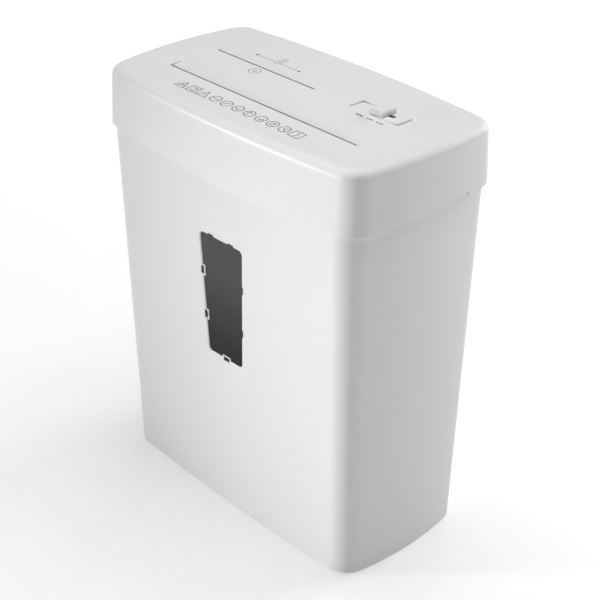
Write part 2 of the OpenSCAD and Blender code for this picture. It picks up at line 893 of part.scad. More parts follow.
// The blades run in gaps of the rear paper roll; the second roll's blades lie beside the first's
function media_blade_x(k) =
    disc_x(disc_pitch / 2, media_first_gap + media_gap_step * k)
    + cutter_t + (disc_pitch - cutter_t - media_blade_t) / 2;

module media_blades(y, shift) {
    color(dark_steel) for (k = [0:media_blade_count - 1])
        along_x(media_blade_x(k) + shift, media_blade_x(k) + shift + media_blade_t)
            translate([y, roll_z]) difference() {
                circle(r = media_blade_r);
                circle(r = media_core_r);
                for (a = [0:45:315]) rotate(a + 9 * k)
                    polygon([[media_blade_r - 1.5, 0], [media_blade_r + 1, 0], [media_blade_r + 1, 2.5]]);
            }
}

module front_media_shaft() { media_shaft(front_media_y, gear_x1 + roll_gear_t + 0.5); }
module front_media_blades() { media_blades(front_media_y, 0); }
module front_media_gears() {
    roll_gear(front_media_y, front_media_phase, gear_x1);
    roll_gear(front_media_y, 0, left_gear_x);
}

module rear_media_shaft() { media_shaft(rear_media_y, middle_plate_x + plate_t + 1.5); }
module rear_media_blades() { media_blades(rear_media_y, media_blade_t + cutter_gap); }
module rear_media_gear() { roll_gear(rear_media_y, rear_media_phase, left_gear_x); }

// ---------- strippers and guides ----------

// True for the gaps of the rear roll that a disc blade runs in
function blade_gap(k) =
    k >= media_first_gap
    && k < media_first_gap + media_gap_step * media_blade_count
    && (k - media_first_gap) % media_gap_step == 0;

module finger(y, x, profile) {
    along_x(x, x + cutter_t) difference() {
        polygon(profile);
        translate([y, roll_z]) circle(r = spacer_r + cutter_gap);
    }
}

module front_strippers() {
    bar_y = front_roll_y - cutter_r - 1.4;
    profile = rectangle(bar_y, roll_z - 14, front_roll_y + 6.5, roll_z + 14);
    color(nylon) {
        block([left_x, bar_y - 2.8, roll_z - 16], [right_x, bar_y + touch, roll_z + 16]);
        for (k = [0:cutter_count - 2]) finger(front_roll_y, disc_x(disc_pitch / 2, k), profile);
    }
}

module rear_strippers() {
    web_y = rear_roll_y + spacer_r + cutter_gap + 2.6;
    bar_z = cutter_r + 1.7;
    profile = rectangle(rear_roll_y - 0.5, roll_z - bar_z - touch, web_y, roll_z + bar_z + touch);
    color(nylon) {
        for (z = [roll_z + bar_z, roll_z - bar_z - 2.5])
            block([left_x, rear_roll_y - 6.5, z], [right_x, web_y, z + 2.5]);
        for (k = [0:cutter_count - 3]) if (!blade_gap(k))
            finger(rear_roll_y, disc_x(disc_pitch, k), profile);
    }
}

// Funnel between two slanted walls, given as their [y] at the top and at the bottom
module funnel(x0, x1, front, rear, top_z) {
    along_x(x0, x1) {
        polygon([
            [front[0] - guide_t, top_z], [front[1] - guide_t, guide_bottom_z],
            [front[1], guide_bottom_z], [front[0], top_z]
        ]);
        polygon([
            [rear[0], top_z], [rear[1], guide_bottom_z],
            [rear[1] + guide_t, guide_bottom_z], [rear[0] + guide_t, top_z]
        ]);
    }
    for (x = [x0, x1 - guide_t]) along_x(x, x + guide_t) polygon([
        [front[0] - touch, top_z], [front[1] - touch, guide_bottom_z],
        [rear[1] + touch, guide_bottom_z], [rear[0] + touch, top_z]
    ]);
}

module paper_guide() {
    rear_top_y = paper_slot_y + 5;
    color(white) difference() {
        union() {
            funnel(
                left_x + 2, right_x - 2, [paper_slot_y - 5, paper_slot_y - 3],
                [rear_top_y, paper_slot_y + 3], ceiling_z - slot_boss_t
            );
            for (side = [-1, 1]) translate([side * 4.2, 0, 0])
                block([-1, rear_top_y, sensor_z - 5], [1, sensor_y + 4, sensor_z + 4]);
            block([-8, rear_top_y, sensor_z - 8], [8, sensor_y + 15, sensor_z - 6]);
        }
        block([-2.2, rear_top_y - 4, guide_bottom_z + 2], [2.2, sensor_y + 3, sensor_z + 4]);
        bar_x([sensor_y, sensor_z], 1.5 + run_fit, -8, 8);
    }
}

module media_guide() {
    color(white) funnel(
        left_x + 3, middle_plate_x - 4, [disc_slot_y - 2.5, disc_slot_y - 0.5],
        [disc_slot_y + 5, disc_slot_y + 3.5], ceiling_z - slot_boss_t + 1
    );
}

// ---------- reduction gears ----------

module last_reduction_gear() {
    color(nylon) difference() {
        union() {
            gear(
                last_c, roll_module, last_pinion_teeth, last_pinion_phase, backlash,
                gear_x1, gear_x1 + roll_gear_t
            );
            bar_x(last_c, 7, gear_x1 + roll_gear_t - touch, gear_x2 + touch);
            gear(
                last_c, middle_module, middle_wheel_teeth, 0, fine_backlash,
                gear_x2, gear_x2 + middle_gear_t
            );
        }
        bar_x(last_c, axle_r + run_fit, gear_x1 - 1, gear_x2 + middle_gear_t + 1);
    }
}

module first_reduction_gear() {
    color(nylon) difference() {
        union() {
            gear(
                first_c, middle_module, middle_pinion_teeth, middle_pinion_phase, fine_backlash,
                gear_x2, gear_x2 + middle_gear_t
            );
            bar_x(first_c, 5, gear_x2 + middle_gear_t - touch, gear_x3 + touch);
            gear(
                first_c, motor_module, motor_wheel_teeth, 0, fine_backlash,
                gear_x3, gear_x3 + motor_gear_t
            );
        }
        bar_x(first_c, axle_r + run_fit, gear_x2 - 1, gear_x3 + motor_gear_t + 1);
    }
}

module gear_axles() {
    color(steel) {
        bar_x(last_c, axle_r, right_x, gear_x2 + middle_gear_t + 0.5);
        bar_x(first_c, axle_r, right_x, gear_x3 + motor_gear_t + 0.5);
        // collar that keeps the first reduction gear at its own level
        difference() {
            bar_x(first_c, axle_r + 1.5, right_x + plate_t, gear_x2 - 0.3);
            bar_x(first_c, axle_r - touch, right_x, gear_x2);
        }
    }
}

// Shallow over the four roll gears, deep over the two reduction gears and the motor's pinion
module gear_guard() {
    shell = 1.5;
    color(nylon) difference() {
        guard_form(0, 0);
        guard_form(shell, touch);
    }
}

module guard_form(inset, below) {
    x0 = right_x + plate_t - below;
    shallow_x1 = gear_x1 + roll_gear_t + 2.5;
    deep_x1 = gear_x3 + motor_gear_t + 2.5;
    shallow = rectangle(-68 + inset, 308 + inset, 71 - inset, 376 - inset);
    deep = [
        [-6 + inset, 326 + inset], [30 + inset / 2, 317 + inset], [56 - inset / 2, 317 + inset],
        [70 - inset, 340], [70 - inset, 376 - inset], [-6 + inset, 376 - inset]
    ];
    along_x(x0, shallow_x1 - inset) polygon(rounded(shallow, 8 - inset));
    along_x(x0, deep_x1 - inset) polygon(rounded(deep, 5 - inset));
}

// ---------- motor ----------

function motor_screw_centres() = [for (a = [45, 225]) motor_c + polar(motor_r - 7, a)];

module motor_case() {
    color(steel) difference() {
        bar_x(motor_c, motor_r, motor_x0, motor_x1);
        bar_x(motor_c, motor_r - motor_wall, motor_x0 + motor_wall, motor_x1 - motor_wall);
        bar_x(motor_c, motor_shaft_r + run_fit, motor_x0 - 1, motor_x1 + 1);
        for (c = motor_screw_centres()) bar_x(c, screw_r, motor_x1 - motor_wall - 1, motor_x1 + 1);
    }
}

module motor_magnets() {
    color(black) along_x(motor_x0 + 12, motor_x1 - 12) translate(motor_c) difference() {
        circle(r = motor_r - motor_wall);
        circle(r = magnet_r);
        for (a = [0, 180]) rotate(a) translate([0, -6]) square([motor_r, 12]);
    }
}

module motor_rotor() {
    color(dark_steel) {
        bar_x(motor_c, motor_shaft_r, motor_x0 - 4, gear_x3 + motor_gear_t + 0.5);
        along_x(motor_x0 + 12, motor_x1 - 18) translate(motor_c) difference() {
            circle(r = rotor_r);
            for (a = [0:36:324]) rotate(a) translate([rotor_r - 4, -0.8]) square([5, 1.6]);
        }
        bar_x(motor_c, 5, motor_x1 - 18 - touch, motor_x1 - 8);
    }
}

module motor_pinion() {
    color(bronze) difference() {
        gear(
            motor_c, motor_module, motor_pinion_teeth, motor_pinion_phase, fine_backlash,
            gear_x3, gear_x3 + motor_gear_t
        );
        bar_x(motor_c, motor_shaft_r, gear_x3 - 1, gear_x3 + motor_gear_t + 1);
    }
}

// ---------- electrics ----------

board_y = 56;
board_t = 1.6;

module circuit_board() {
    color([0.10, 0.34, 0.18]) block([-100, board_y, 306], [10, board_y + board_t, 350]);
}

// Relay, terminal block, fuse holder, capacitors and triac on the rear of the board
module board_components() {
    face = board_y + board_t;
    color(black) {
        block([-92, face, 312], [-73, face + 12, 327]);
        block([-92, face, 334], [-62, face + 9, 344]);
        block([-20, face, 334], [4, face + 8, 342]);
        block([-4, face, 312], [6, face + 5, 328]);
        for (x = [-52, -36]) translate([x, face + 12, 322]) rotate([90, 0, 0]) cylinder(r = 6, h = 12);
        for (x = [-50, -44, -38, -32])
            translate([x, face + 4, 340]) rotate([90, 0, 0]) cylinder(r = 1.5, h = 4);
    }
}

module sensor_lever() {
    color(black) {
        bar_x([sensor_y, sensor_z], 1.5, -5.2, 5.2);
        bar_x([sensor_y, sensor_z], 3, -2.9, 2.9);
        along_x(-1.5, 1.5) polygon([
            [sensor_y, sensor_z - 1.5], [sensor_y, sensor_z + 1.5],
            [paper_slot_y - 3, sensor_z - 3.5], [paper_slot_y - 2.5, sensor_z - 5.5]
        ]);
        along_x(-1, 1) polygon([
            [sensor_y, sensor_z - 1], [sensor_y + 9.5, sensor_z + 2.5],
            [sensor_y + 9, sensor_z + 5], [sensor_y, sensor_z + 1.5]
        ]);
    }
}

// Fork with a light barrier that the lever's tail interrupts
module sensor_fork() {
    color(black) difference() {
        block([-7, sensor_y + 7, sensor_z - 6], [7, sensor_y + 14, sensor_z + 9]);
        block([-2.5, sensor_y + 6, sensor_z - 2], [2.5, sensor_y + 15, sensor_z + 10]);
    }
}

module safety_switch() {
    color(black) {
        block([plunger_x - 6, -8, plunger_top_z + 3], [plunger_x + 6, 8, plunger_top_z + 14]);
        for (y = [-8, 6])
            block([plunger_x - 6, y, floor_z], [plunger_x - 3, y + 2, plunger_top_z + 3 + touch]);
    }
}

module safety_plunger() {
    color(nylon) translate([plunger_x, 0, 0]) {
        translate([0, 0, rib_z]) cylinder(r = plunger_r, h = plunger_top_z - rib_z);
        translate([0, 0, floor_z + 5]) cylinder(r = plunger_r + 1.5, h = 2);
    }
}

// Bush that lines the cord's way through the rear wall, with a snap rim on the inside
module cord_gland() {
    color(black) on_gland() difference() {
        union() {
            translate([0, 0, -gland_boss_t - 3]) cylinder(r = gland_r, h = gland_boss_t + 3.5);
            cylinder(r = gland_flange_r, h = 2.2);
            translate([0, 0, -gland_boss_t - 2]) cylinder(r1 = gland_r, r2 = gland_r + 0.8, h = 2);
        }
        translate([0, 0, -gland_boss_t - 4]) cylinder(r = cord_r, h = 20);
    }
}

// ---------- fasteners ----------

// Screw with its head at the origin and its shank down -Z
module screw(length) {
    difference() {
        cylinder(r = screw_head_r, h = screw_head_t);
        for (a = [0, 90]) rotate(a) translate([-2, -0.4, screw_head_t - 1]) cube([4, 0.8, 2]);
    }
    translate([0, 0, -length]) cylinder(r = screw_r, h = length + touch);
}

module cover_screws() {
    color(steel) for (c = columns) translate([c[0], c[1], tray_z]) mirror([0, 0, 1]) screw(16);
}

module frame_screws() {
    color(steel) for (p = foot_holes()) translate([p[0], p[1], floor_z + plate_t]) screw(3.5);
}

module rod_screws() {
    color(steel) for (rod = rods) {
        translate([right_x + plate_t, rod[0], rod[1]]) rotate([0, 90, 0]) screw(10);
        translate([left_x - plate_t, rod[0], rod[1]]) rotate([0, -90, 0]) screw(10);
    }
}

module motor_screws() {
    color(steel) for (c = motor_screw_centres())
        translate([right_x + plate_t, c[0], c[1]]) rotate([0, 90, 0]) screw(plate_t + motor_wall - 0.5);
}

bin_shell();
bin_window();
top_cover();
base_cover();
mode_knob();
switch_body();
left_side_plate();
right_side_plate();
middle_bearing_plate();
tie_rods();
shaft_bushes();
front_roll_shaft();
front_roll_discs();
front_roll_spacers();
front_roll_gear();
rear_roll_shaft();
rear_roll_discs();
rear_roll_spacers();
rear_roll_gear();
front_media_shaft();
front_media_blades();
front_media_gears();
rear_media_shaft();
rear_media_blades();
rear_media_gear();
front_strippers();
rear_strippers();
paper_guide();
media_guide();
last_reduction_gear();
first_reduction_gear();
gear_axles();
gear_guard();
motor_case();
motor_magnets();
motor_rotor();
motor_pinion();
circuit_board();
board_components();
sensor_lever();
sensor_fork();
safety_switch();
safety_plunger();
cord_gland();
cover_screws();
frame_screws();
rod_screws();
motor_screws();
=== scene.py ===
"""Paper shredder: materials, shells, printed marks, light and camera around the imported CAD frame."""

import json
import math

import bmesh
import bpy
from mathutils import Matrix, Vector


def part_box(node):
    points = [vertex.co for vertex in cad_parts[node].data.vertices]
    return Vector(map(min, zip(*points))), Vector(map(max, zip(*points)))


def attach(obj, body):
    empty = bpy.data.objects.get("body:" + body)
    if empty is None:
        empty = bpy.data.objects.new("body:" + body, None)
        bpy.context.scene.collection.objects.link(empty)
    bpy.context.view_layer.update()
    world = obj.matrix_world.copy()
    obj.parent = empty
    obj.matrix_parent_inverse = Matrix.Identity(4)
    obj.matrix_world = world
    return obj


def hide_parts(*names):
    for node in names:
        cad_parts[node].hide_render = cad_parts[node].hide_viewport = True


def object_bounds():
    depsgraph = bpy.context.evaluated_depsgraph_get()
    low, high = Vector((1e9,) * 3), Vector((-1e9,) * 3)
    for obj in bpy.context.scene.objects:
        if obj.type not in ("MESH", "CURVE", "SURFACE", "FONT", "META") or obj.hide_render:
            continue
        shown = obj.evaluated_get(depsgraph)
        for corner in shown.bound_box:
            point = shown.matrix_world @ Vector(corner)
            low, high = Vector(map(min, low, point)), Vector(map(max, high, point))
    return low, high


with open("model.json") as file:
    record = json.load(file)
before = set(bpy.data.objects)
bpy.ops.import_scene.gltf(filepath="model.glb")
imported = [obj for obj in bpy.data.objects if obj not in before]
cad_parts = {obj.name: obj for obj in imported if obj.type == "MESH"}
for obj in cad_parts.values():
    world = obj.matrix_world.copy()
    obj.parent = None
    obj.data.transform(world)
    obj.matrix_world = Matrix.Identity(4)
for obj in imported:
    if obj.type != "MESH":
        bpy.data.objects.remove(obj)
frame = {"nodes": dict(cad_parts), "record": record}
cad_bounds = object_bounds()

MM = 0.001
HEAD_LOW, HEAD_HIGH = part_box("top_cover")
BIN_LOW, BIN_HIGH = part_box("bin_shell")
KNOB_LOW, KNOB_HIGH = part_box("mode_knob")
PANE_LOW, PANE_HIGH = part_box("bin_window")
PANE_MID_X = (PANE_LOW.x + PANE_HIGH.x) / 2

# Head: its top face lies below its box's top by the rise of the switch track
SKIRT_Z = BIN_HIGH.z
TRACK_L = 55 * MM
TRACK_RISE = 2 * MM
TRACK_ANGLE = math.atan(2 * TRACK_RISE / TRACK_L)
TOP_Z = HEAD_HIGH.z - TRACK_L / 2 * math.sin(TRACK_ANGLE)
HEAD_D = HEAD_HIGH.y - HEAD_LOW.y
HEAD_W = 320 * MM
HEAD_CORNER_R = 22.8 * MM
HEAD_END_BOW = 10.7 * MM
HEAD_SIDE_BOW = 9.2 * MM
HEAD_DRAFT = math.tan(math.radians(2.4))
TOP_EDGE_R = 8.5 * MM
WALL = 2.5 * MM
RELIEF_H = 3.3 * MM
RELIEF_HALF = 43 * MM
RELIEF_R = 1.5 * MM
RELIEF_CUT = 9 * MM
COVER_BEVEL = 0.35 * MM

# Bin, from the frame's boxes
BIN_W = BIN_HIGH.x - BIN_LOW.x
BIN_D = BIN_HIGH.y - BIN_LOW.y
BIN_TAPER_X = 3.9 * MM
BIN_TAPER_Y = 9.4 * MM
BIN_CORNER_R = 22 * MM
BIN_END_BOW = 10 * MM
BIN_SIDE_BOW = 5.1 * MM
BIN_EDGE_R = 2 * MM
RIM_CHAMFER = 0.4 * MM
SHARP_ANGLE = math.radians(40)

# Rib inside the bin's left wall, under the safety plunger
RIB_OUTER_X = -154 * MM
RIB_INNER_X = -133 * MM
RIB_HALF = 4 * MM
RIB_TOP_Z = 296 * MM
RIB_H = 10 * MM

# Window in the bin's front wall: the pane's box is larger than the opening by its flange
PANE_FLANGE = 1.9 * MM
WINDOW_TOP_W = PANE_HIGH.x - PANE_LOW.x - 2 * PANE_FLANGE
WINDOW_NARROWING = 10 * MM
WINDOW_BOTTOM_W = WINDOW_TOP_W - WINDOW_NARROWING
WINDOW_R = 4 * MM
WINDOW_Z0 = PANE_LOW.z + PANE_FLANGE
WINDOW_Z1 = PANE_HIGH.z - PANE_FLANGE
WINDOW_BAND = 3.3 * MM
LIP_T = 1.2 * MM
PANE_T = 1.6 * MM
WINDOW_R_GROWTH = 0.8
WINDOW_CUT_OUT = 3 * MM
WINDOW_CUT_IN = 8 * MM
POCKET_OVER = 2 * MM
FRAME_OVER = 5 * MM
FRAME_SINK = 0.5 * MM
CATCH_L = 10 * MM
CATCH_BAR = 1.2 * MM
CATCH_REACH = 3 * MM
HOOK_DEPTH = 0.4 * MM
CATCH_Z = (195.5 * MM, 238.5 * MM)
NOTCH_W = 2.2 * MM
TOP_NOTCH_X = 12.5 * MM
BOTTOM_HOOK_X = 1.5 * MM
TOUCH = 0.1 * MM

# Slots in the top face
PAPER_SLOT_Y = -37 * MM
PAPER_SLOT_X = -1.2 * MM
PAPER_SLOT_L = 221.5 * MM
PAPER_SLOT_W = 4.8 * MM
GROOVE_L = 227 * MM
GROOVE_RUN = 11 * MM
GROOVE_DEPTH = 1.9 * MM
DISC_SLOT_Y = 15.5 * MM
DISC_SLOT_X = -51 * MM
DISC_SLOT_L = 122 * MM
DISC_SLOT_W = 3.4 * MM
DISC_GROOVE_RUN = 6 * MM
DISC_GROOVE_DEPTH = 1 * MM
BOSS_T = 4 * MM
BOSS_END = 4 * MM
PAPER_BOSS_FRONT = 5.4 * MM
PAPER_BOSS_REAR = 13 * MM
DISC_BOSS_T = BOSS_T - MM
DISC_BOSS_FRONT = 5 * MM
DISC_BOSS_REAR = 8 * MM
CUT_ABOVE = 5 * MM
CUT_BELOW = 2 * MM

# Switch: a knob on a track that is sunk at its left end and stands proud at its right end
KNOB_X = 3 * MM
KNOB_BOX_X = 2.9 * MM
TRACK_X = (KNOB_LOW.x + KNOB_HIGH.x) / 2 - KNOB_BOX_X
TRACK_Y = (KNOB_LOW.y + KNOB_HIGH.y) / 2
TRACK_W = 18 * MM
TRACK_CORNER_R = 2 * MM
TRACK_FLOOR_T = 2.2 * MM
TRACK_EDGE = 0.4 * MM
TRACK_GAP = 0.3 * MM
TRACK_FLARE = 0.6 * MM
TRACK_SPACE_H = 8 * MM
PAD_UNDER = 2 * MM
PAD_EDGE_H = 0.5 * MM
KNOB_L = 15 * MM
KNOB_W = KNOB_HIGH.y - KNOB_LOW.y
KNOB_H = 5.8 * MM
KNOB_EDGE_R = 3.5 * MM
KNOB_CLEAR = 0.3 * MM
KNOB_TRAVEL = 11 * MM
KNOB_BEVEL = 0.7 * MM
GRIP_PITCH = 2.4 * MM
GRIP_HALF = 0.3 * MM
GRIP_DEPTH = 0.25 * MM
GRIP_END = 1.5 * MM
STEM_L = 4 * MM
STEM_W = 3.6 * MM
STEM_DROP = 18.5 * MM
STEM_PLAY = 0.4 * MM
STEM_SLOT_UNDER = 4 * MM
SLIDER_L = 12 * MM
SLIDER_T = 1.4 * MM
SLIDER_PLAY = 1 * MM
SLIDER_ROOM_H = 8 * MM

# Seat of the cord's gland in the rear wall
GLAND_FLANGE = 2.4 * MM
GLAND_PLAY = 0.2 * MM
GLAND_SEAT_T = 2.2 * MM
GLAND_CUT_OUT = 9 * MM
GLAND_CUT_IN = 4 * MM

# Steps of a quarter of an outline: half its end, its corner, half its side
END_STEPS = 8
CORNER_STEPS = 14
SIDE_STEPS = 16

# Camera: the photograph's viewpoint
CAMERA_AZIMUTH = math.radians(46.69)
CAMERA_ELEVATION = math.radians(30.18)
CAMERA_ROLL = math.radians(-0.59)
CAMERA_DISTANCE = 1.3177
CAMERA_LENS = 88.24
CAMERA_SENSOR = 36.0
CAMERA_TARGET = Vector((-5.9, 15.8, 178.2)) * MM


# ---------- outlines ----------

def polar(radius, angle):
    return Vector((radius * math.cos(angle), radius * math.sin(angle)))


def heading(a, b):
    return math.atan2(b.y - a.y, b.x - a.x)


def bow_radius(chord, bow):
    """Radius of the arc over a chord that stands out by the given bow."""
    return (chord * chord / 4 + bow * bow) / (2 * bow)


def meeting_point(a, ra, b, rb):
    """Point at distance ra from a and rb from b, on the left of the way from a to b."""
    way = b - a
    d = way.length
    way /= d
    along = (ra * ra - rb * rb + d * d) / (2 * d)
    return a + along * way + math.sqrt(ra * ra - along * along) * Vector((-way.y, way.x))


def outline(w, d, r, end_bow, side_bow):
    """Plan outline of a shell with bowed ends and sides, anticlockwise."""
    end_r = bow_radius(d, end_bow)
    side_r = bow_radius(w, side_bow)
    end_c = Vector((w / 2 - end_r, 0))
    side_c = Vector((0, d / 2 - side_r))
    corner_c = meeting_point(end_c, end_r - r, side_c, side_r - r)
    a0 = heading(end_c, corner_c)
    a1 = heading(side_c, corner_c)
    turn = a1 - a0
    rest = math.pi / 2 - a1
    quarter = [end_c + polar(end_r, a0 * i / END_STEPS) for i in range(END_STEPS)]
    quarter += [corner_c + polar(r, a0 + turn * i / CORNER_STEPS) for i in range(CORNER_STEPS)]
    quarter += [side_c + polar(side_r, a1 + rest * i / SIDE_STEPS) for i in range(SIDE_STEPS + 1)]
    right = quarter[:-1]
    left = [Vector((-p.x, p.y)) for p in reversed(quarter[1:])]
    half = right + left
    return half + [-p for p in half]


def head_outline(inset):
    return outline(
        HEAD_W - 2 * inset, HEAD_D - 2 * inset, HEAD_CORNER_R - inset, HEAD_END_BOW, HEAD_SIDE_BOW
    )


def bin_outline(z, inset):
    fall = 1 - z / SKIRT_Z
    return outline(
        BIN_W - 2 * (inset + BIN_TAPER_X * fall),
        BIN_D - 2 * (inset + BIN_TAPER_Y * fall),
        BIN_CORNER_R - inset, BIN_END_BOW, BIN_SIDE_BOW
    )


def at_height(points, z):
    return [Vector((p.x, p.y, z)) for p in points]


def rounded(corners, radius, steps=6):
    """Polygon with each corner rounded by an arc."""
    points = []
    count = len(corners)
    for i, b in enumerate(corners):
        u = (corners[i - 1] - b).normalized()
        v = (corners[(i + 1) % count] - b).normalized()
        half = u.angle(v) / 2
        centre = b + (u + v).normalized() * radius / math.sin(half)
        a0 = heading(centre, b + u * radius / math.tan(half))
        a1 = heading(centre, b + v * radius / math.tan(half))
        turn = (a1 - a0 + 3 * math.pi) % (2 * math.pi) - math.pi
        points += [centre + polar(radius, a0 + turn * k / steps) for k in range(steps + 1)]
    return points


def rectangle(x0, y0, x1, y1):
    return [Vector(p) for p in ((x0, y0), (x1, y0), (x1, y1), (x0, y1))]


def circle(x, y, radius, steps=48):
    return [Vector((x, y)) + polar(radius, 2 * math.pi * i / steps) for i in range(steps)]


# ---------- mesh helpers ----------

def new_object(name, bm):
    bmesh.ops.recalc_face_normals(bm, faces=bm.faces)
    mesh = bpy.data.meshes.new(name)
    bm.to_mesh(mesh)
    bm.free()
    obj = bpy.data.objects.new(name, mesh)
    bpy.context.scene.collection.objects.link(obj)
    return obj


def add_loft(bm, rings):
    """Closed skin through a list of rings with equal numbers of points, capped at both ends."""
    layers = [[bm.verts.new(p) for p in ring] for ring in rings]
    count = len(layers[0])
    for low, high in zip(layers, layers[1:]):
        for i in range(count):
            j = (i + 1) % count
            bm.faces.new((low[i], low[j], high[j], high[i]))
    bm.faces.new(list(reversed(layers[0])))
    bm.faces.new(layers[-1])


def loft(name, rings):
    bm = bmesh.new()
    add_loft(bm, rings)
    return new_object(name, bm)


def place(point, plane, depth):
    """Point of a flat profile put into space: plane names the two axes of the profile."""
    if plane == "yz":
        return Vector((depth, point.x, point.y))
    if plane == "xz":
        return Vector((point.x, depth, point.y))
    return Vector((point.x, point.y, depth))


def prism(name, profile, plane, low, high):
    return loft(name, [[place(p, plane, low) for p in profile], [place(p, plane, high) for p in profile]])


def apply_modifiers(obj):
    graph = bpy.context.evaluated_depsgraph_get()
    mesh = bpy.data.meshes.new_from_object(obj.evaluated_get(graph))
    obj.modifiers.clear()
    obj.data = mesh


def combine(obj, others, operation):
    for other in others:
        modifier = obj.modifiers.new(operation, "BOOLEAN")
        modifier.operation = operation
        modifier.solver = "EXACT"
        modifier.object = other
    apply_modifiers(obj)
    for other in others:
        bpy.data.objects.remove(other)


def cut(obj, *cutters):
    combine(obj, cutters, "DIFFERENCE")


FLAT_WEIGHT = 60


def smooth(obj):
    """Smooth shading that keeps the flats flat."""
    for polygon in obj.data.polygons:
        polygon.use_smooth = True
    normals = obj.modifiers.new("normals", "WEIGHTED_NORMAL")
    normals.weight = FLAT_WEIGHT
    normals.keep_sharp = True


def soften(obj, width, segments=2, angle=32):
    """Small bevel on every hard edge, under smooth shading."""
    bevel = obj.modifiers.new("edges", "BEVEL")
    bevel.width = width
    bevel.segments = segments
    bevel.limit_method = "ANGLE"
    bevel.angle_limit = math.radians(angle)
    bevel.use_clamp_overlap = True
    smooth(obj)


# ---------- materials ----------

def node(tree, kind, **settings):
    made = tree.nodes.new(kind)
    for key, value in settings.items():
        setattr(made, key, value)
    return made


def ramp(tree, source, stops):
    """Colour ramp from a list of (position, brightness)."""
    made = node(tree, "ShaderNodeValToRGB")
    elements = made.color_ramp.elements
    for element, (position, value) in zip(elements, stops):
        element.position = position
        element.color = (value, value, value, 1)
    tree.links.new(source, made.inputs["Fac"])
    return made.outputs["Color"]


def noise(tree, where, scale, detail, stretch=None):
    made = node(tree, "ShaderNodeTexNoise")
    made.inputs["Scale"].default_value = scale
    made.inputs["Detail"].default_value = detail
    if stretch is not None:
        mapping = node(tree, "ShaderNodeMapping")
        mapping.inputs["Scale"].default_value = stretch
        tree.links.new(where, mapping.inputs["Vector"])
        where = mapping.outputs["Vector"]
    tree.links.new(where, made.inputs["Vector"])
    return made.outputs["Fac"]


def mix_colour(tree, factor, first, second):
    made = node(tree, "ShaderNodeMix", data_type="RGBA")
    if isinstance(factor, float):
        made.inputs["Factor"].default_value = factor
    else:
        tree.links.new(factor, made.inputs["Factor"])
    for socket, value in ((made.inputs[6], first), (made.inputs[7], second)):
        if isinstance(value, tuple):
            socket.default_value = (*value, 1)
        else:
            tree.links.new(value, socket)
    return made.outputs[2]


PATCH_SCALE = 9
BUMP_DEPTH = 0.05 * MM


def surface(
    name, colour, roughness, metallic=0.0, grain=0.0, grain_scale=2500, mottle=0.04,
    wear=0.0, wear_colour=(0.9, 0.9, 0.9), stretch=None, specular=0.5
):
    """Procedural finish: fine grain in bump, slow changes of colour and gloss, and worn edges."""
    material = bpy.data.materials.new(name)
    material.use_nodes = True
    tree = material.node_tree
    shader = tree.nodes["Principled BSDF"]
    shader.inputs["Metallic"].default_value = metallic
    shader.inputs["Specular IOR Level"].default_value = specular
    where = node(tree, "ShaderNodeTexCoord").outputs["Object"]

    patches = noise(tree, where, PATCH_SCALE, 4)
    dark = tuple(c * (1 - mottle) for c in colour)
    tint = mix_colour(tree, ramp(tree, patches, [(0.35, 0), (0.65, 1)]), dark, colour)
    if wear > 0:
        edges = node(tree, "ShaderNodeNewGeometry").outputs["Pointiness"]
        worn = ramp(tree, edges, [(0.52, 0), (0.6, wear)])
        tint = mix_colour(tree, worn, tint, wear_colour)
    tree.links.new(tint, shader.inputs["Base Color"])

    fine = noise(tree, where, grain_scale, 2, stretch)
    gloss = node(tree, "ShaderNodeMapRange")
    gloss.inputs["To Min"].default_value = roughness * 0.85
    gloss.inputs["To Max"].default_value = min(1.0, roughness * 1.15)
    tree.links.new(mix_colour(tree, 0.5, patches, fine), gloss.inputs["Value"])
    tree.links.new(gloss.outputs["Result"], shader.inputs["Roughness"])

    if grain > 0:
        bump = node(tree, "ShaderNodeBump")
        bump.inputs["Strength"].default_value = grain
        bump.inputs["Distance"].default_value = BUMP_DEPTH
        tree.links.new(fine, bump.inputs["Height"])
        tree.links.new(bump.outputs["Normal"], shader.inputs["Normal"])
    return material


def smoked_pane():
    """Dark glossy pane with painted light and shade in its colour: darker towards the bottom, lighter
    towards the top.
    """
    smoke = (0.035, 0.034, 0.031)
    material = surface("smoked_pane", smoke, 0.12, mottle=0.1, grain=0.05, specular=0.12)
    tree = material.node_tree
    shader = tree.nodes["Principled BSDF"]
    shader.inputs["Transmission Weight"].default_value = 0.25
    shader.inputs["IOR"].default_value = 1.49
    where = node(tree, "ShaderNodeTexCoord").outputs["Object"]
    # Painted shade: the pane's colour runs from near black at the window's bottom to a lighter grey at its
    # top, standing in for the light and shade that fall on it.
    height = node(tree, "ShaderNodeSeparateXYZ")
    tree.links.new(where, height.inputs["Vector"])
    level = node(tree, "ShaderNodeMapRange")
    level.inputs["From Min"].default_value = WINDOW_Z0
    level.inputs["From Max"].default_value = WINDOW_Z1
    tree.links.new(height.outputs["Z"], level.inputs["Value"])
    painted_shade_ramp = ramp(tree, level.outputs["Result"], [(0.1, 0), (0.75, 1)])
    tint = mix_colour(tree, painted_shade_ramp, (0.004, 0.004, 0.003), (0.082, 0.081, 0.077))
    patches = noise(tree, where, 30, 3)
    mottled = mix_colour(tree, patches, tint, smoke)
    blend = mix_colour(tree, 0.2, tint, mottled)
    tree.links.new(blend, shader.inputs["Base Color"])
    return material


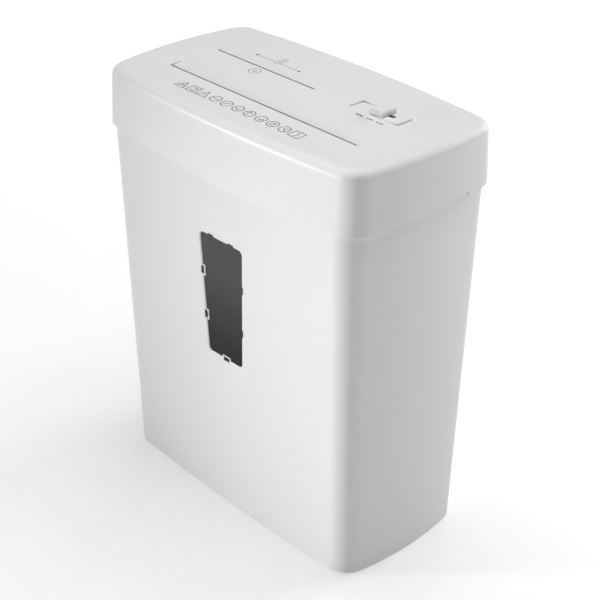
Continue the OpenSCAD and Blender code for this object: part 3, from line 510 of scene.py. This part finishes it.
def make_materials():
    return {
        "white_plastic": surface(
            "white_plastic", (0.80, 0.80, 0.79), 0.42, grain=0.22, grain_scale=1800, mottle=0.012,
            wear=0.25, wear_colour=(0.86, 0.86, 0.855)
        ),
        "smoked_window": smoked_pane(),
        "plate_steel": surface(
            "plate_steel", (0.60, 0.61, 0.62), 0.34, metallic=1.0, grain=0.3, grain_scale=900,
            mottle=0.12, wear=0.4, stretch=(1, 1, 14)
        ),
        "cutter_steel": surface(
            "cutter_steel", (0.33, 0.33, 0.34), 0.30, metallic=1.0, grain=0.35, grain_scale=1400,
            mottle=0.25, wear=0.7, wear_colour=(0.72, 0.72, 0.73)
        ),
        "screw_steel": surface(
            "screw_steel", (0.66, 0.66, 0.67), 0.22, metallic=1.0, grain=0.15, mottle=0.1, wear=0.3
        ),
        "bronze": surface(
            "bronze", (0.62, 0.41, 0.20), 0.38, metallic=1.0, grain=0.4, mottle=0.2, wear=0.4,
            wear_colour=(0.80, 0.62, 0.40)
        ),
        "nylon": surface(
            "nylon", (0.76, 0.74, 0.66), 0.48, grain=0.25, grain_scale=1500, mottle=0.06, wear=0.3
        ),
        "magnet": surface(
            "magnet", (0.05, 0.05, 0.055), 0.6, grain=0.5, grain_scale=1200, mottle=0.3, wear=0.2
        ),
        "board_green": surface(
            "board_green", (0.02, 0.12, 0.045), 0.3, grain=0.2, mottle=0.25, wear=0.3
        ),
        "black_plastic": surface(
            "black_plastic", (0.025, 0.025, 0.027), 0.45, grain=0.3, mottle=0.3, wear=0.2
        ),
        "black_rubber": surface("black_rubber", (0.02, 0.02, 0.02), 0.62, grain=0.4, mottle=0.3),
    }


def print_ink():
    return surface("print_ink", (0.10, 0.10, 0.10), 0.55, grain=0.1, mottle=0.25, grain_scale=2200)


def give(obj, material):
    obj.data.materials.clear()
    obj.data.materials.append(material)


# ---------- head ----------

def head_rings():
    """Inner skin from the ceiling down, then the outer skin from the lower edge up over the top edge."""
    inner_r = TOP_EDGE_R - WALL

    def ring(inset, z):
        return at_height(head_outline(inset + HEAD_DRAFT * (z - SKIRT_Z)), z)

    def edge(inset, radius, steps):
        top = TOP_Z - inset
        angles = [math.pi / 2 * i / steps for i in range(steps + 1)]
        return [ring(inset + radius * (1 - math.cos(a)), top - radius * (1 - math.sin(a))) for a in angles]

    inner = [ring(WALL, SKIRT_Z)] + edge(WALL, inner_r, 4)
    outer = [ring(0, SKIRT_Z)] + edge(0, TOP_EDGE_R, 14)
    return list(reversed(inner)) + outer


def slot_cutter(name, x, y, length, width):
    """Slot through the top face and the strip under it."""
    front = y - width / 2
    profile = rectangle(front, TOP_Z - WALL - BOSS_T - CUT_BELOW, front + width, TOP_Z + CUT_ABOVE)
    return prism(name, profile, "yz", x - length / 2, x + length / 2)


def groove_cutter(name, start, y, length, width, run, depth):
    """Groove that rises to the rear from the rear edge of a slot."""
    front = y - width / 2
    profile = [
        Vector((front, TOP_Z - depth)),
        Vector((front + width, TOP_Z - depth)),
        Vector((y + run, TOP_Z)),
        Vector((y + run, TOP_Z + CUT_ABOVE)),
        Vector((front, TOP_Z + CUT_ABOVE)),
    ]
    return prism(name, profile, "yz", start, start + length)


def slot_cutters():
    paper_start = PAPER_SLOT_X - PAPER_SLOT_L / 2
    disc_start = DISC_SLOT_X - DISC_SLOT_L / 2
    return (
        slot_cutter("slot", PAPER_SLOT_X, PAPER_SLOT_Y, PAPER_SLOT_L, PAPER_SLOT_W),
        groove_cutter(
            "groove", paper_start, PAPER_SLOT_Y, GROOVE_L, PAPER_SLOT_W, GROOVE_RUN, GROOVE_DEPTH
        ),
        slot_cutter("disc_slot", DISC_SLOT_X, DISC_SLOT_Y, DISC_SLOT_L, DISC_SLOT_W),
        groove_cutter(
            "disc_groove", disc_start, DISC_SLOT_Y, DISC_SLOT_L, DISC_SLOT_W,
            DISC_GROOVE_RUN, DISC_GROOVE_DEPTH
        ),
    )


def on_track(obj):
    """Moves an object drawn around the track's middle, with z = 0 on its face, into place."""
    lean = Matrix.Rotation(-TRACK_ANGLE, 4, "Y")
    obj.data.transform(Matrix.Translation((TRACK_X, TRACK_Y, TOP_Z)) @ lean)
    return obj


def plate(name, half_l, half_w, corner_r, layers):
    """Rounded plate through layers of (height, growth)."""
    rings = []
    for z, grow in layers:
        corners = rectangle(-half_l - grow, -half_w - grow, half_l + grow, half_w + grow)
        rings.append(at_height(rounded(corners, corner_r + grow), z))
    return loft(name, rings)


def track_pad():
    """Plate under the knob, with a chamfered upper edge."""
    layers = ((-TRACK_FLOOR_T - PAD_UNDER, 0), (-PAD_EDGE_H, 0), (0, -TRACK_EDGE))
    return on_track(plate("pad", TRACK_L / 2, TRACK_W / 2, TRACK_CORNER_R, layers))


def track_cutters():
    """Space over the track, the slot for the knob's stem and the room for its slider."""
    layers = ((0, -TRACK_GAP), (TRACK_EDGE, 0), (TRACK_SPACE_H, TRACK_FLARE))
    space = plate("space", TRACK_L / 2, TRACK_W / 2, TRACK_CORNER_R, layers)
    half = STEM_L / 2 + KNOB_TRAVEL + STEM_PLAY
    width = STEM_W / 2 + STEM_PLAY
    slot_outline = rectangle(KNOB_X - half, -width, KNOB_X + half, width)
    slot = prism("stem_slot", slot_outline, "xy", -TRACK_FLOOR_T - STEM_SLOT_UNDER, 0.01 * MM)
    half = SLIDER_L / 2 + KNOB_TRAVEL + SLIDER_PLAY
    width = SLIDER_L / 2 + SLIDER_PLAY
    room_outline = rectangle(KNOB_X - half, -width, KNOB_X + half, width)
    room = prism("slider_room", room_outline, "xy", -TRACK_FLOOR_T - SLIDER_ROOM_H, -TRACK_FLOOR_T)
    return [on_track(piece) for piece in (space, slot, room)]


def relief_cutter():
    """Finger relief in the skirt's lower edge, at both ends."""
    corners = rectangle(-RELIEF_HALF, SKIRT_Z - RELIEF_CUT, RELIEF_HALF, SKIRT_Z + RELIEF_H)
    return prism("relief", rounded(corners, RELIEF_R), "yz", -HEAD_W, HEAD_W)


def gland_cutter():
    """Bore for the cord's gland in the rear wall, with a wider seat outside."""
    low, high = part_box("cord_gland")
    x, z = (low.x + high.x) / 2, (low.z + high.z) / 2
    flange_r = (high.z - low.z) / 2
    inside = low.y - GLAND_CUT_IN
    outside = high.y + GLAND_CUT_OUT
    bore = prism("gland_bore", circle(x, z, flange_r - GLAND_FLANGE), "xz", inside, outside)
    seat = prism("gland_seat", circle(x, z, flange_r + GLAND_PLAY), "xz", high.y - GLAND_SEAT_T, outside)
    combine(bore, [seat], "UNION")
    return bore


def bosses():
    """Thick strips under the top face, around the slots."""

    def boss(x, y, length, front, rear, thickness):
        half = length / 2 + BOSS_END
        plan = rectangle(x - half, y - front, x + half, y + rear)
        return prism("boss", plan, "xy", TOP_Z - WALL - thickness, TOP_Z - WALL / 2)

    return [
        boss(PAPER_SLOT_X, PAPER_SLOT_Y, GROOVE_L, PAPER_BOSS_FRONT, PAPER_BOSS_REAR, BOSS_T),
        boss(DISC_SLOT_X, DISC_SLOT_Y, DISC_SLOT_L, DISC_BOSS_FRONT, DISC_BOSS_REAR, DISC_BOSS_T),
    ]


def make_top_cover(material):
    cover = loft("top_shell", head_rings())
    combine(cover, bosses() + [track_pad()], "UNION")
    cut(cover, *slot_cutters())
    cut(cover, *track_cutters())
    cut(cover, relief_cutter(), gland_cutter())
    soften(cover, COVER_BEVEL, 3)
    give(cover, material)
    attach(cover, "head")
    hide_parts("top_cover")


# ---------- switch knob ----------

def make_knob(material):
    """Grip with rounded ends and fine cross grooves, on a stem that carries a slider."""
    end_x = KNOB_L / 2 - KNOB_EDGE_R
    end_z = KNOB_H - KNOB_EDGE_R
    arc = [math.pi / 2 * i / 10 for i in range(11)]
    profile = [Vector((-KNOB_L / 2, KNOB_CLEAR)), Vector((KNOB_L / 2, KNOB_CLEAR))]
    profile += [Vector((end_x, end_z)) + polar(KNOB_EDGE_R, a) for a in arc]
    profile += [Vector((-end_x, end_z)) + polar(KNOB_EDGE_R, a + math.pi / 2) for a in arc]
    knob = prism("switch_knob", profile, "xz", -KNOB_W / 2, KNOB_W / 2)
    grooves = [
        prism(
            "groove", rectangle(x - GRIP_HALF, KNOB_H - GRIP_DEPTH, x + GRIP_HALF, KNOB_H + MM), "xz",
            -KNOB_W / 2 + GRIP_END, KNOB_W / 2 - GRIP_END
        )
        for x in (-GRIP_PITCH, 0, GRIP_PITCH)
    ]
    cut(knob, *grooves)
    stem_outline = rectangle(-STEM_L / 2, -STEM_W / 2, STEM_L / 2, STEM_W / 2)
    stem = prism("stem", stem_outline, "xy", -STEM_DROP, MM)
    slider_z = -TRACK_FLOOR_T - KNOB_CLEAR
    slider_outline = rectangle(-SLIDER_L / 2, -SLIDER_L / 2, SLIDER_L / 2, SLIDER_L / 2)
    slider = prism("slider", slider_outline, "xy", slider_z - SLIDER_T, slider_z)
    combine(knob, [stem, slider], "UNION")
    knob.data.transform(Matrix.Translation((KNOB_X, 0, 0)))
    on_track(knob)
    soften(knob, KNOB_BEVEL, 4)
    give(knob, material)
    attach(knob, "mode_knob")
    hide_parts("mode_knob")


# ---------- bin ----------

def front_face_y(x, z):
    """Place of the bin's bowed and leaning front face."""
    fall = 1 - z / SKIRT_Z
    width = BIN_W - 2 * BIN_TAPER_X * fall
    depth = BIN_D - 2 * BIN_TAPER_Y * fall
    radius = bow_radius(width, BIN_SIDE_BOW)
    return -(depth / 2 - radius + math.sqrt(radius * radius - x * x))


def window_half(z):
    """Half width of the window at a height."""
    share = (z - WINDOW_Z0) / (WINDOW_Z1 - WINDOW_Z0)
    return (WINDOW_BOTTOM_W + WINDOW_NARROWING * share) / 2


def window_outline(grow):
    corners = [
        Vector((PANE_MID_X - WINDOW_BOTTOM_W / 2 - grow, WINDOW_Z0 - grow)),
        Vector((PANE_MID_X + WINDOW_BOTTOM_W / 2 + grow, WINDOW_Z0 - grow)),
        Vector((PANE_MID_X + WINDOW_TOP_W / 2 + grow, WINDOW_Z1 + grow)),
        Vector((PANE_MID_X - WINDOW_TOP_W / 2 - grow, WINDOW_Z1 + grow)),
    ]
    return rounded(corners, WINDOW_R + grow * WINDOW_R_GROWTH, 8)


def on_front(points, depth):
    """Profile drawn in X and Z, laid onto the front face and sunk into it."""
    return [Vector((p.x, front_face_y(p.x, p.y) + depth, p.y)) for p in points]


def sunk_prism(name, points, low, high):
    return loft(name, [on_front(points, low), on_front(points, high)])


def window_cutter():
    """The opening, with a broad rounded band that leads down to the pane."""
    rings = [on_front(window_outline(WINDOW_BAND), -WINDOW_CUT_OUT)]
    for i in range(9):
        turn = math.pi / 2 * i / 8
        grow = WINDOW_BAND * (1 - math.sin(turn))
        rings.append(on_front(window_outline(grow), LIP_T * (1 - math.cos(turn))))
    rings.append(on_front(window_outline(0), WINDOW_CUT_IN))
    return loft("window", rings)


def side_places(side):
    """Frames on one side of the window: a point, the way into the window and the way along its edge."""
    return [
        (Vector((PANE_MID_X + side * window_half(z), z)), Vector((-side, 0)), Vector((0, 1)))
        for z in CATCH_Z
    ]


def hook_places():
    """Frames of the hooks, which hold the pane on the left and at the bottom."""
    bottom = Vector((PANE_MID_X + BOTTOM_HOOK_X, WINDOW_Z0))
    return side_places(-1) + [(bottom, Vector((0, 1)), Vector((1, 0)))]


def notch_places():
    """Frames of the notches without a hook, on the right and at the top."""
    tops = [Vector((PANE_MID_X + x, WINDOW_Z1)) for x in (-TOP_NOTCH_X, TOP_NOTCH_X)]
    return side_places(1) + [(top, Vector((0, -1)), Vector((1, 0))) for top in tops]


def catch_block(name, spot, start, end, half_l, low, high):
    """Block on the window's edge, from start to end on the way into the window."""
    edge, way, along = spot
    corners = [edge + way * p.x + along * p.y for p in rectangle(start, -half_l, end, half_l)]
    return sunk_prism(name, corners, low, high)


def bin_rings():
    """Outer skin from the rounded lower edge up to the rim, then the inner skin down to the floor."""
    outer = []
    for i in range(7):
        turn = math.pi / 2 * i / 6
        inset = BIN_EDGE_R * (1 - math.sin(turn))
        outer.append(at_height(bin_outline(0, inset), BIN_EDGE_R * (1 - math.cos(turn))))
    outer += [at_height(bin_outline(z, 0), z) for z in (SKIRT_Z / 2, SKIRT_Z - RIM_CHAMFER)]
    outer.append(at_height(bin_outline(SKIRT_Z, RIM_CHAMFER), SKIRT_Z))
    inner = [at_height(bin_outline(z, WALL), z) for z in (SKIRT_Z, WALL)]
    return outer + inner


def make_hook(spot, eye_half):
    """Small open loop over the edge of the pane."""
    hook = catch_block("hook", spot, -TOUCH, CATCH_REACH, CATCH_L / 2, HOOK_DEPTH, LIP_T)
    cut(hook, catch_block("eye", spot, -MM, CATCH_REACH - CATCH_BAR, eye_half, 0, LIP_T + MM))
    return hook


def make_bin(material):
    shell = loft("bin_body", bin_rings())
    pocket_end = LIP_T + PANE_T + MM
    surround = sunk_prism("surround", window_outline(FRAME_OVER), WALL - FRAME_SINK, pocket_end)
    rib_outline = rectangle(RIB_OUTER_X, -RIB_HALF, RIB_INNER_X, RIB_HALF)
    rib = prism("rib", rib_outline, "xy", RIB_TOP_Z - RIB_H, RIB_TOP_Z)
    combine(shell, [surround, rib], "UNION")
    pocket = sunk_prism("pocket", window_outline(POCKET_OVER), LIP_T, pocket_end + MM)
    cut(shell, window_cutter(), pocket)
    notch_half = CATCH_L / 2 - CATCH_BAR
    for spot in hook_places() + notch_places():
        cut(shell, catch_block("notch", spot, -NOTCH_W, TOUCH, notch_half, -MM, LIP_T + TOUCH))
    combine(shell, [make_hook(spot, notch_half) for spot in hook_places()], "UNION")
    shell.data.set_sharp_from_angle(angle=SHARP_ANGLE)
    smooth(shell)
    give(shell, material)
    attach(shell, "bin")
    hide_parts("bin_shell")


# ---------- printed marks ----------

INK_T = 0.06 * MM
INK_SINK = 0.02 * MM


def add_stroke(bm, points, width, closed=False):
    """Flat ribbon of ink along a line on the top face."""
    count = len(points)
    left, right = [], []
    for i, p in enumerate(points):
        before = points[i - 1] if closed or i > 0 else p
        after = points[(i + 1) % count] if closed or i < count - 1 else p
        way = (after - before).normalized()
        side = Vector((-way.y, way.x)) * width / 2
        if 0 < i < count - 1 or closed:
            turn = (p - before).angle(after - p) / 2
            side /= max(0.5, math.cos(turn))
        left.append(p + side)
        right.append(p - side)
    z0 = TOP_Z - INK_SINK
    z1 = TOP_Z + INK_T
    spans = range(count if closed else count - 1)
    corners = [
        [bm.verts.new((q.x, q.y, z)) for q, z in ((l, z0), (r, z0), (r, z1), (l, z1))]
        for l, r in zip(left, right)
    ]
    for i in spans:
        a, b = corners[i], corners[(i + 1) % count]
        for k in range(4):
            m = (k + 1) % 4
            bm.faces.new((a[k], a[m], b[m], b[k]))
    if not closed:
        bm.faces.new(corners[0])
        bm.faces.new(list(reversed(corners[-1])))


def line(x0, y0, x1, y1):
    return [Vector((x0, y0)), Vector((x1, y1))]


def scaled(points, x, y, size):
    return [Vector((x + p[0] * size, y + p[1] * size)) for p in points]


SIGN_STROKES = (
    [(-0.2, -0.25), (0, 0.1), (0.2, -0.25)],
    [(-0.25, -0.2), (0.25, -0.2), (0.25, 0.2), (-0.25, 0.2)],
    [(0, -0.25), (0, 0.15)],
    [(-0.3, 0), (0.3, 0)],
    [(-0.2, -0.2), (0.2, 0.2)],
    [(-0.25, 0.1), (0, -0.2), (0.25, 0.1)],
    [(-0.15, -0.3), (-0.15, 0.3), (0.2, 0.1)],
    [(-0.3, -0.1), (0.3, -0.1), (0.1, 0.2)],
    [(-0.2, 0.2), (0.2, 0.2), (-0.2, -0.2), (0.2, -0.2)],
    [(0.25, -0.25), (-0.1, 0), (0.25, 0.25)],
    [(-0.1, -0.3), (0.1, 0), (-0.1, 0.3)],
)


def make_signs():
    """Row of plain signs in front of the paper slot: triangles, panels and rings with simple strokes."""
    bm = bmesh.new()
    size = 11.2 * MM
    ring_r = 5.1 * MM
    pitch = 13.7 * MM
    y = -58.6 * MM
    first = -69.3 * MM
    width = 0.75 * MM
    triangle = [(-0.5, -0.45), (0.5, -0.45), (0, 0.5)]
    panel = [(-0.5, -0.45), (0.5, -0.45), (0.5, 0.45), (-0.5, 0.45)]
    for i, stroke in enumerate(SIGN_STROKES):
        x = first + i * pitch
        if i in (0, 2):
            add_stroke(bm, scaled(triangle, x, y, size), width, closed=True)
        elif i in (1, 10):
            add_stroke(bm, scaled(panel, x, y, size), width, closed=True)
        else:
            add_stroke(bm, circle(x, y, ring_r, 40), width, closed=True)
        add_stroke(bm, scaled(stroke, x, y, size), width)
    return new_object("signs", bm)


def make_slot_sign():
    """Line with end dots and an upright card over the disc slot, and a disc in front of it."""
    bm = bmesh.new()
    y = 32 * MM
    left, right = -80 * MM, -27 * MM
    dot_half = 1.2 * MM
    add_stroke(bm, line(left, y, -57 * MM, y), 0.4 * MM)
    add_stroke(bm, line(-51 * MM, y, right, y), 0.4 * MM)
    for x in (left, right):
        add_stroke(bm, line(x - dot_half, y, x + dot_half, y), 2 * MM)
    add_stroke(bm, rectangle(-56 * MM, 30 * MM, -52 * MM, 43 * MM), 0.5 * MM, closed=True)
    for radius in (5.5 * MM, 1.6 * MM):
        add_stroke(bm, circle(-53 * MM, 5 * MM, radius, 40), 0.45 * MM, closed=True)
    return new_object("slot_sign", bm)


def make_mode_marks():
    """Three small marks in front of the track, one for each position of the knob."""
    bm = bmesh.new()
    y = 4.2 * MM
    width = 0.7 * MM
    middle = TRACK_X + KNOB_X
    pitch = 2.6 * MM
    bar_half = 3.4 * MM
    arrow = [(0.5, 0.5), (-0.5, 0), (0.5, -0.5)]
    for k in (-1, 0, 1):
        x = middle + k * pitch
        add_stroke(bm, scaled(arrow, x + KNOB_TRAVEL, y, 2 * MM), width)
        add_stroke(bm, circle(x - KNOB_TRAVEL, y, 0.9 * MM, 12), width, closed=True)
    add_stroke(bm, line(middle - bar_half, y, middle + bar_half, y), 1.2 * MM)
    return new_object("mode_marks", bm)


def make_marks():
    ink = print_ink()
    for piece in (make_signs(), make_slot_sign(), make_mode_marks()):
        give(piece, ink)
        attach(piece, "head")


# ---------- carried-over CAD nodes ----------

REBUILT = ("top_cover", "bin_shell", "mode_knob")


def dress_cad_nodes(materials):
    slots = {part["node"]: part["material_slot"] for part in frame["record"]["subparts"]}
    for name, obj in frame["nodes"].items():
        if name in REBUILT:
            continue
        give(obj, materials[slots[name]])
        soften(obj, 0.15 * MM, 1)


# ---------- stage, light and camera ----------

# Floor, in metres, and the strength of its glow near the object and far from it
FLOOR_HALF = 20
FLOOR_GAP = 0.2 * MM
FLOOR_GLOW = 0.24
FAR_GLOW = 0.62
GLOW_FROM = 0.3
GLOW_TO = 1.6


def floor_paper():
    """White paper that glows a little near the object and more towards the distance."""
    material = surface("floor_paper", (0.9, 0.9, 0.9), 0.8, grain=0.1, mottle=0.01)
    tree = material.node_tree
    shader = tree.nodes["Principled BSDF"]
    where = node(tree, "ShaderNodeTexCoord").outputs["Object"]
    distance = node(tree, "ShaderNodeVectorMath", operation="LENGTH")
    tree.links.new(where, distance.inputs[0])
    glow = node(tree, "ShaderNodeMapRange")
    glow.inputs["From Min"].default_value = GLOW_FROM
    glow.inputs["From Max"].default_value = GLOW_TO
    glow.inputs["To Min"].default_value = FLOOR_GLOW
    glow.inputs["To Max"].default_value = FAR_GLOW
    tree.links.new(distance.outputs["Value"], glow.inputs["Value"])
    tree.links.new(glow.outputs["Result"], shader.inputs["Emission Strength"])
    shader.inputs["Emission Color"].default_value = (1, 1, 1, 1)
    return material


def make_floor():
    bm = bmesh.new()
    bmesh.ops.create_grid(bm, x_segments=1, y_segments=1, size=FLOOR_HALF)
    floor = new_object("floor", bm)
    floor.location.z = cad_bounds[0][2] - FLOOR_GAP
    give(floor, floor_paper())


def area_light(name, position, target, size, power, spread=180):
    data = bpy.data.lights.new(name, "AREA")
    data.spread = math.radians(spread)
    data.shape = "RECTANGLE"
    data.size, data.size_y = size
    data.energy = power
    light = bpy.data.objects.new(name, data)
    light.location = position
    light.rotation_euler = (Vector(target) - Vector(position)).to_track_quat("-Z", "Y").to_euler()
    bpy.context.scene.collection.objects.link(light)


def make_lights():
    """Narrow key from the front left, aimed past the right end, a soft box behind and one overhead."""
    middle = (0, 0, 0.2)
    area_light("key", (-1.5, -1.9, 0.4), (0.38, 0, 0.2), (0.3, 0.8), 1.26, spread=22)
    area_light("back", (0.5, 2.2, 0.9), middle, (1.0, 1.2), 21)
    area_light("overhead", (0, 0.2, 2.4), middle, (2.0, 2.0), 46.8)
    world = bpy.data.worlds.new("studio")
    world.use_nodes = True
    background = world.node_tree.nodes["Background"]
    background.inputs["Color"].default_value = (1, 1, 1, 1)
    background.inputs["Strength"].default_value = 0.02
    bpy.context.scene.world = world
    bpy.context.scene.view_settings.view_transform = "Standard"


def make_camera():
    az, el = CAMERA_AZIMUTH, CAMERA_ELEVATION
    back = Vector((math.sin(az) * math.cos(el), -math.cos(az) * math.cos(el), math.sin(el)))
    level = Vector((math.cos(az), math.sin(az), 0))
    rise = back.cross(level)
    right = math.cos(CAMERA_ROLL) * level - math.sin(CAMERA_ROLL) * rise
    up = math.sin(CAMERA_ROLL) * level + math.cos(CAMERA_ROLL) * rise
    data = bpy.data.cameras.new("camera")
    data.lens = CAMERA_LENS
    data.sensor_width = CAMERA_SENSOR
    camera = bpy.data.objects.new("camera", data)
    turn = Matrix((right, up, back)).transposed().to_4x4()
    camera.matrix_world = Matrix.Translation(CAMERA_TARGET + back * CAMERA_DISTANCE) @ turn
    bpy.context.scene.collection.objects.link(camera)
    bpy.context.scene.camera = camera


materials = make_materials()
make_top_cover(materials["white_plastic"])
make_knob(materials["white_plastic"])
make_bin(materials["white_plastic"])
make_marks()
dress_cad_nodes(materials)
make_floor()
make_lights()
make_camera()
